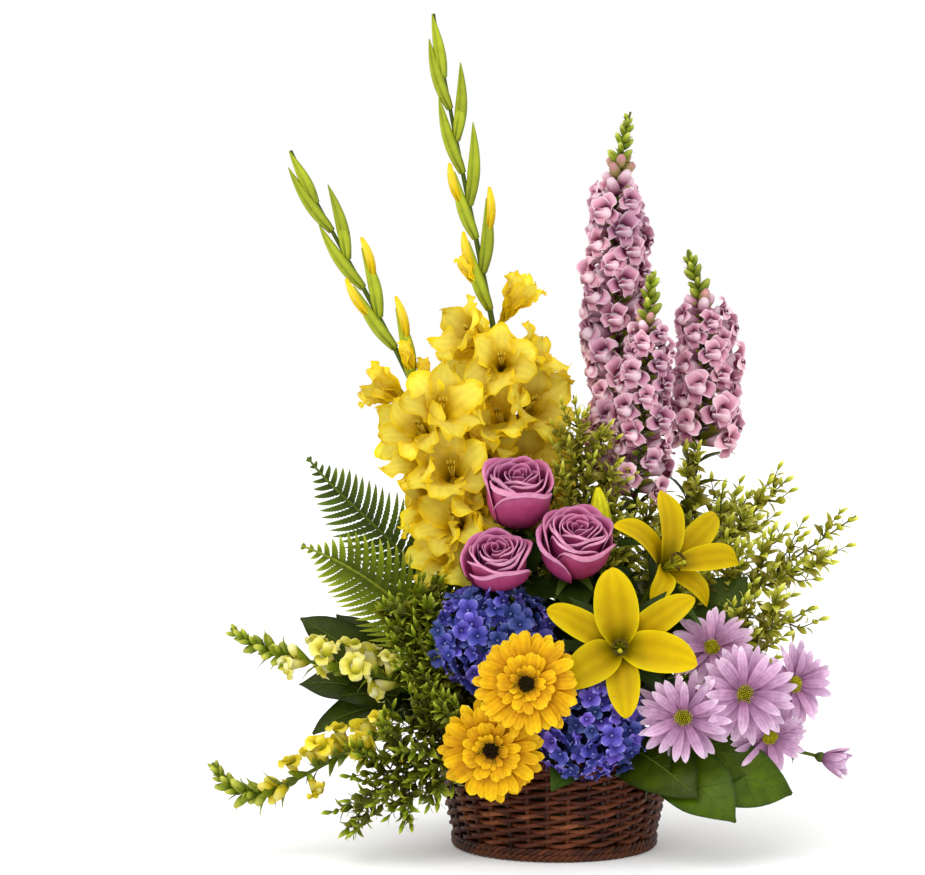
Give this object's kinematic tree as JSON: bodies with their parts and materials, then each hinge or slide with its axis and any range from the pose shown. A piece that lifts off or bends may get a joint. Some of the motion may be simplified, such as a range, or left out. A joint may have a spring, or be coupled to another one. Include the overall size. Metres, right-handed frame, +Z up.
{
  "type": "flower basket arrangement",
  "caption": "Round wicker basket of cut flowers: tall gladioli and snapdragons behind roses, lilies, gerberas, hydrangeas and daisies, with fern, salal and myrtle greens.",
  "frame": {"origin": "centre of the basket's underside, on the surface it stands on", "axes": "+Z up, along the tallest flowers; -Y towards the front that the flowers face; +X to the right as seen from the front"},
  "size_m": [0.5806, 0.317, 0.7536],
  "materials": {
    "wicker": "satin brown stain",
    "liner": "satin",
    "foam": "matt, wet",
    "green_stem": "satin",
    "gladiolus_petal": "soft, thin and slightly see-through",
    "lavender_petal": "soft",
    "cream_petal": "soft",
    "rose_petal": "velvety",
    "lily_petal": "waxy",
    "gerbera_petal": "soft",
    "hydrangea_petal": "soft",
    "daisy_petal": "soft",
    "fern_leaf": "matt",
    "salal_leaf": "glossy",
    "myrtle_leaf": "satin"
  },
  "bodies": {
    "root": {"basket_base": "wicker", "basket_wall": "wicker", "basket_border": "wicker", "plastic_liner": "liner", "gladiolus_left_stem": "green_stem", "gladiolus_left_florets": "gladiolus_petal", "gladiolus_centre_stem": "green_stem", "gladiolus_centre_florets": "gladiolus_petal", "snapdragon_tall_stem": "green_stem", "snapdragon_tall_florets": "lavender_petal", "snapdragon_middle_stem": "green_stem", "snapdragon_middle_florets": "lavender_petal", "snapdragon_right_stem": "green_stem", "snapdragon_right_florets": "lavender_petal", "yellow_snapdragon_upper_stem": "green_stem", "yellow_snapdragon_upper_florets": "cream_petal", "yellow_snapdragon_lower_stem": "green_stem", "yellow_snapdragon_lower_florets": "cream_petal", "rose_top_stem": "green_stem", "rose_top_bloom": "rose_petal", "rose_right_stem": "green_stem", "rose_right_bloom": "rose_petal", "rose_left_stem": "green_stem", "rose_left_bloom": "rose_petal", "lily_front_stem": "green_stem", "lily_front_bloom": "lily_petal", "lily_back_stem": "green_stem", "lily_back_bloom": "lily_petal", "lily_bud": "lily_petal", "gerbera_upper_stem": "green_stem", "gerbera_upper_bloom": "gerbera_petal", "gerbera_lower_stem": "green_stem", "gerbera_lower_bloom": "gerbera_petal", "hydrangea_left_stem": "green_stem", "hydrangea_left_bloom": "hydrangea_petal", "hydrangea_right_stem": "green_stem", "hydrangea_right_bloom": "hydrangea_petal", "daisy_stem": "green_stem", "daisy_back": "daisy_petal", "daisy_front": "daisy_petal", "daisy_left": "daisy_petal", "daisy_right": "daisy_petal", "daisy_low": "daisy_petal", "daisy_bud": "daisy_petal", "fern_upper": "fern_leaf", "fern_lower": "fern_leaf", "fern_back_left": "fern_leaf", "fern_back_right": "fern_leaf", "salal_right": "salal_leaf", "salal_left": "salal_leaf", "salal_centre": "salal_leaf", "salal_back_left": "salal_leaf", "salal_back_right": "salal_leaf", "myrtle_right_long": "myrtle_leaf", "myrtle_right_low": "myrtle_leaf", "myrtle_right_high": "myrtle_leaf", "myrtle_top": "myrtle_leaf", "myrtle_left_low": "myrtle_leaf", "myrtle_left_high": "myrtle_leaf", "floral_foam": "foam"}
  },
  "joints": []
}
